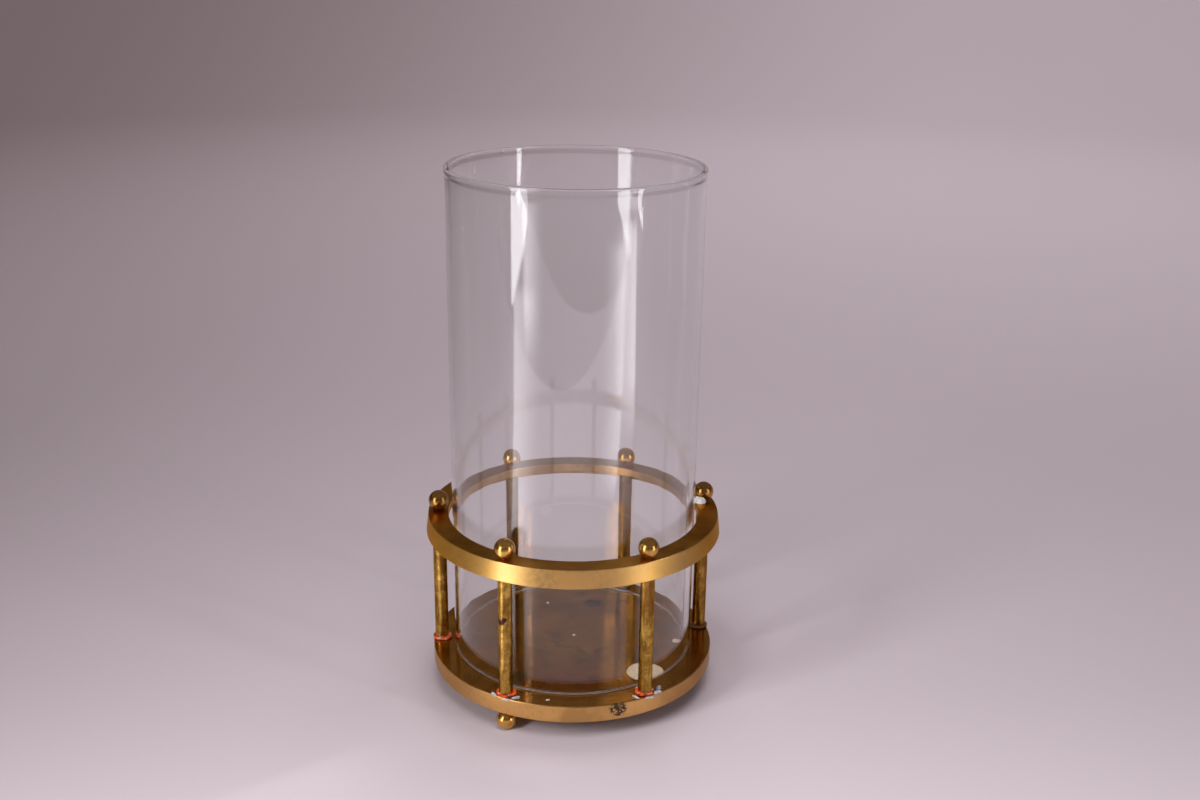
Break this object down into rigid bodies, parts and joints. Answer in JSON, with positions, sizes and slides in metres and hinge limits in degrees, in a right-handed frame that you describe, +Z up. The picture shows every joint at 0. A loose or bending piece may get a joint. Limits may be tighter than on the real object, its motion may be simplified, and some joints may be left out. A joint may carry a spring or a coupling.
{
  "type": "storm glass",
  "caption": "Open glass cylinder that shelters a candle, standing loose on a flat round base on ball feet, kept upright by a skirted ring on slim pillars, each capped by a ball.",
  "frame": {"origin": "on the floor, under the middle of the base disc", "axes": "+Z up, along the axis of the glass; -Y towards the front, where two pillars face the viewer; +X to the viewer's right"},
  "size_m": [0.1514, 0.1514, 0.27],
  "materials": {
    "brass_base": "polished and darkened with age on top, satin gold on the edge",
    "brass_ring": "satin gold outside, darkened on top and inside",
    "brass_rod": "mottled with age",
    "brass_ball": "polished, lightly tarnished",
    "brass_fastener": "as turned",
    "fibre": "red vulcanised fibre, worn edges",
    "clear_glass": "clear, fire-polished rim"
  },
  "bodies": {
    "cage": {"base_disc": "brass_base", "top_ring": "brass_ring", "pillar_1": "brass_rod", "pillar_2": "brass_rod", "pillar_3": "brass_rod", "pillar_4": "brass_rod", "pillar_5": "brass_rod", "pillar_6": "brass_rod", "ball_finial_1": "brass_ball", "ball_finial_2": "brass_ball", "ball_finial_3": "brass_ball", "ball_finial_4": "brass_ball", "ball_finial_5": "brass_ball", "ball_finial_6": "brass_ball", "upper_stud_1": "brass_fastener", "upper_stud_2": "brass_fastener", "upper_stud_3": "brass_fastener", "upper_stud_4": "brass_fastener", "upper_stud_5": "brass_fastener", "upper_stud_6": "brass_fastener", "washer_1": "fibre", "washer_2": "fibre", "washer_3": "fibre", "washer_4": "fibre", "washer_5": "fibre", "washer_6": "fibre", "ball_foot_1": "brass_ball", "ball_foot_2": "brass_ball", "ball_foot_3": "brass_ball", "foot_stud_1": "brass_fastener", "foot_stud_2": "brass_fastener", "foot_stud_3": "brass_fastener", "base_screw_1": "brass_fastener", "base_screw_2": "brass_fastener", "base_screw_3": "brass_fastener"},
    "glass": {"glass_chimney": "clear_glass"}
  },
  "joints": [
    {"name": "glass_lift", "type": "slide", "parent": "cage", "child": "glass", "axis": [0, 0, 1], "range_m": [0, 0.11]}
  ]
}
